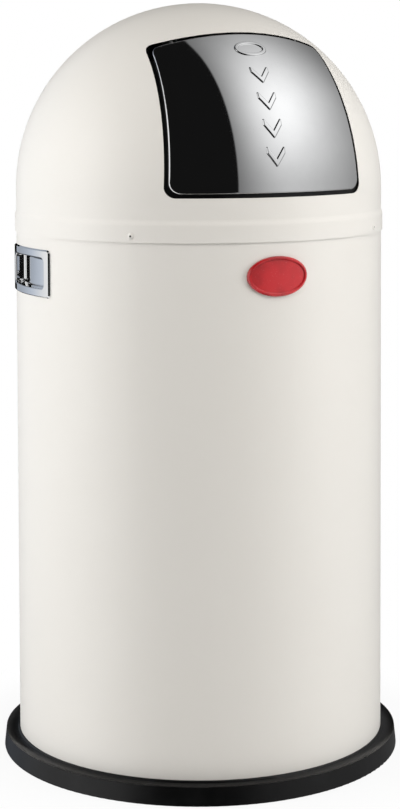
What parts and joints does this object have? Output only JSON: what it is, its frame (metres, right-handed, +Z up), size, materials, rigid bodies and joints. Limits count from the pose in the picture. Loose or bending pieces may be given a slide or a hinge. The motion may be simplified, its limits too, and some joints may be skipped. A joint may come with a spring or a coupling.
{
  "type": "push bin",
  "caption": "Upright cylindrical steel bin with a domed lift-off hood, a sprung push flap, side handles, a foot ring and a lift-out inner bin.",
  "frame": {"origin": "centre of the foot ring's underside, on the floor", "axes": "+Z up along the bin's axis; the front, with the flap and the badge, faces -Y; the handles are on X"},
  "size_m": [0.4014, 0.4014, 0.755],
  "materials": {
    "white_coat": "satin",
    "black_plastic": "satin",
    "red_enamel": "gloss",
    "plain_steel": "satin",
    "polished_steel": "polished",
    "white_nylon": "matt",
    "black_rubber": "matt",
    "galvanised_steel": "matt"
  },
  "bodies": {
    "bin_body": {"body_tube": "white_coat", "base_ring": "black_plastic", "floor_pan": "white_coat", "badge_plate": "red_enamel", "badge_enamel": "red_enamel", "badge_nuts": "plain_steel", "handle_cup_right": "polished_steel", "handle_cup_left": "polished_steel", "handle_clamp_right": "plain_steel", "handle_clamp_left": "plain_steel", "handle_nuts": "plain_steel"},
    "hood": {"hood_shell": "white_coat", "hood_rivets": "white_coat", "guide_clips": "plain_steel", "hinge_bracket_right": "plain_steel", "hinge_bracket_left": "plain_steel", "hinge_axle": "plain_steel", "axle_clips": "plain_steel", "flap_spring_right": "plain_steel", "flap_spring_left": "plain_steel"},
    "flap": {"flap_skin": "polished_steel", "flap_backing": "black_plastic", "hinge_strap": "plain_steel", "strap_rivets": "plain_steel", "flap_bushes": "white_nylon", "flap_buffers": "black_rubber"},
    "inner_bin": {"liner": "galvanised_steel", "bail_ears": "galvanised_steel", "ear_rivets": "plain_steel"},
    "bail": {"bail_wire": "galvanised_steel", "bail_grip": "black_plastic"}
  },
  "joints": [
    {"name": "hood_lift", "type": "slide", "parent": "bin_body", "child": "hood", "axis": [0, 0, 1], "range_m": [0, 0.7]},
    {"name": "flap_hinge", "type": "hinge", "parent": "hood", "child": "flap", "pos_m": [0, -0.08593, 0.70968], "axis": [1, 0, 0], "range_deg": [0, 70], "stiffness_Nm_per_rad": 0.3, "springref_deg": -57.3, "deforming": ["flap_spring_right", "flap_spring_left"]},
    {"name": "inner_bin_lift", "type": "slide", "parent": "bin_body", "child": "inner_bin", "axis": [0, 0, 1], "range_m": [0, 0.525]},
    {"name": "bail_hinge", "type": "hinge", "parent": "inner_bin", "child": "bail", "pos_m": [0, 0, 0.508], "axis": [1, 0, 0], "range_deg": [0, 180]}
  ],
  "couplings": [
    {"joint": "inner_bin_lift", "follows": "hood_lift", "ratio": 0.75}
  ]
}
